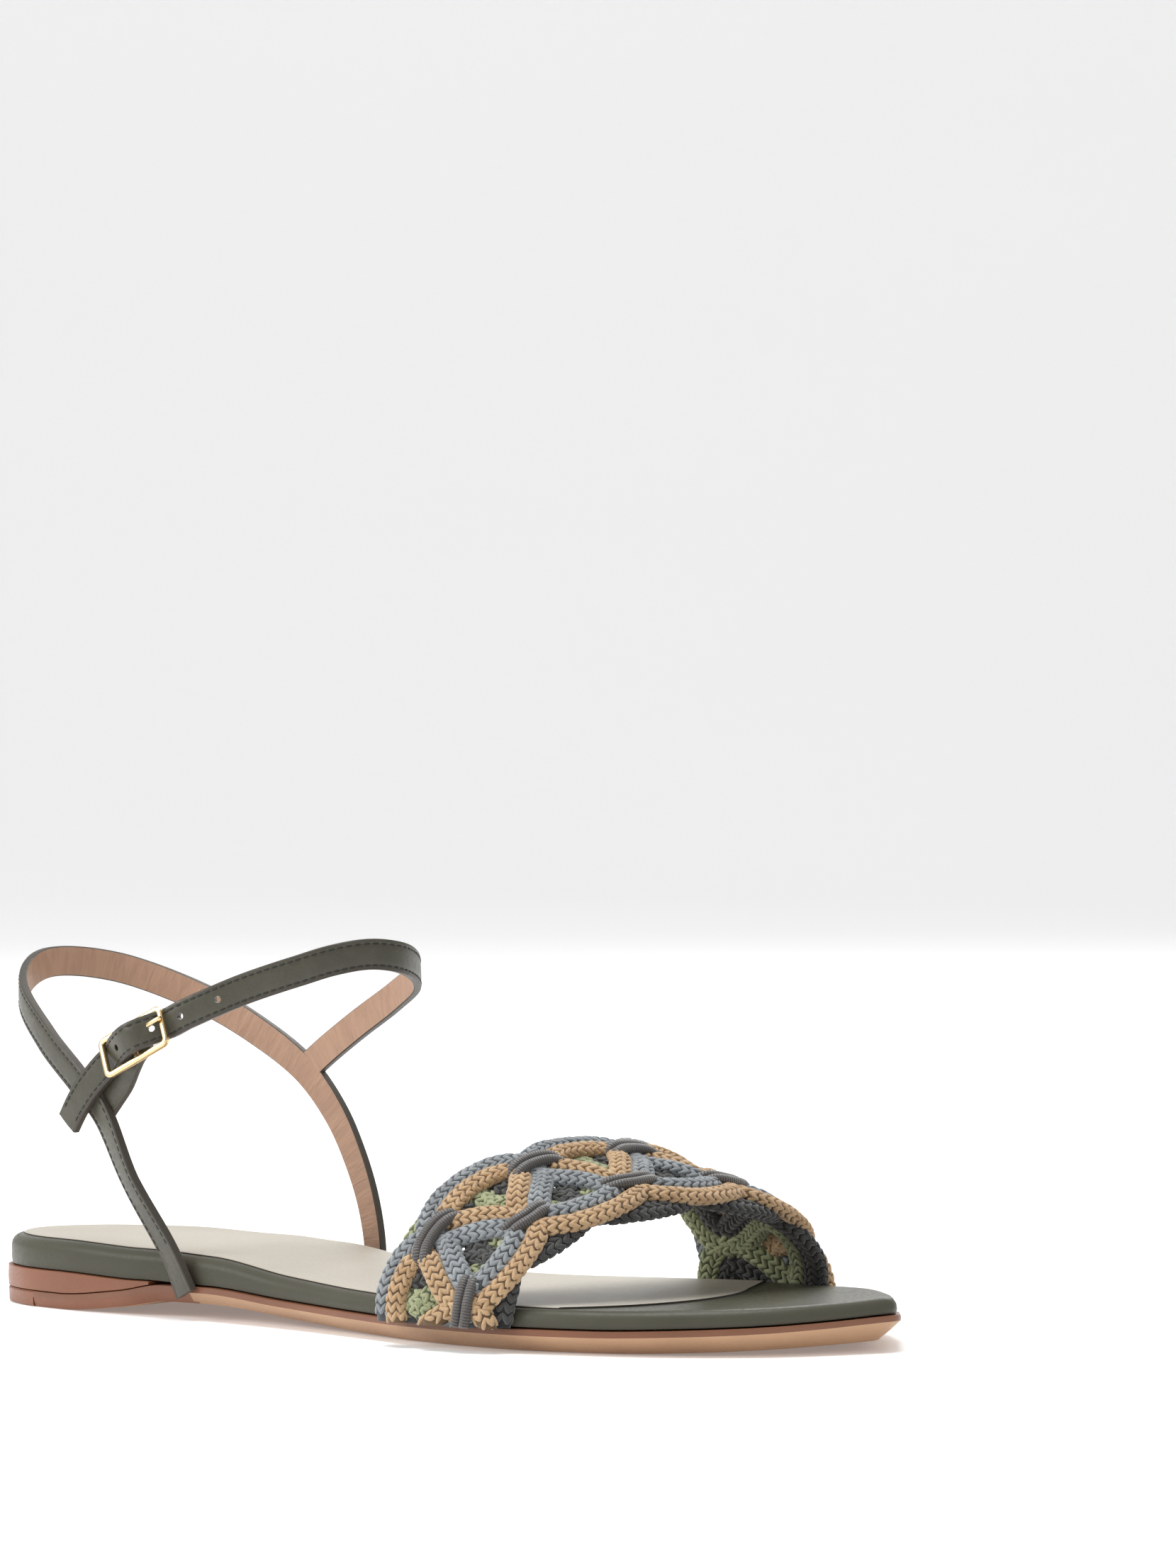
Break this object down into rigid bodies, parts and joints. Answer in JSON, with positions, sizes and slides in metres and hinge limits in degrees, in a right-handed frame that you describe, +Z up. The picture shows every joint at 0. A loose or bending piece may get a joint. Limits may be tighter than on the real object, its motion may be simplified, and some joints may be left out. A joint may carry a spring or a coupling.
{
  "type": "sandal",
  "caption": "Flat leather sandal for a right foot with a braided cord strap over the toes and a buckled strap round the ankle.",
  "frame": {"origin": "on the floor under the middle of the heel", "axes": "+X from heel to toe, +Y towards the big-toe side, +Z up"},
  "size_m": [0.2357, 0.0927, 0.0826],
  "materials": {
    "outsole": "waxed tan edge and bevel",
    "heel_top_piece": "smooth brown",
    "heel_lift": "smooth brown",
    "midsole": "smooth grey-green, soft shine",
    "insole": "smooth beige",
    "braided_vamp": "knitted cords in tan, blue-grey, charcoal and light green",
    "ankle_straps": "smooth dark green, stitched edges",
    "buckle": "polished pale gold"
  },
  "bodies": {
    "root": {"outsole": "outsole", "heel_top_piece": "heel_top_piece", "heel_lift": "heel_lift", "midsole": "midsole", "insole": "insole", "braided_vamp": "braided_vamp", "ankle_straps": "ankle_straps", "buckle_frame": "buckle", "buckle_prong": "buckle"}
  },
  "joints": []
}
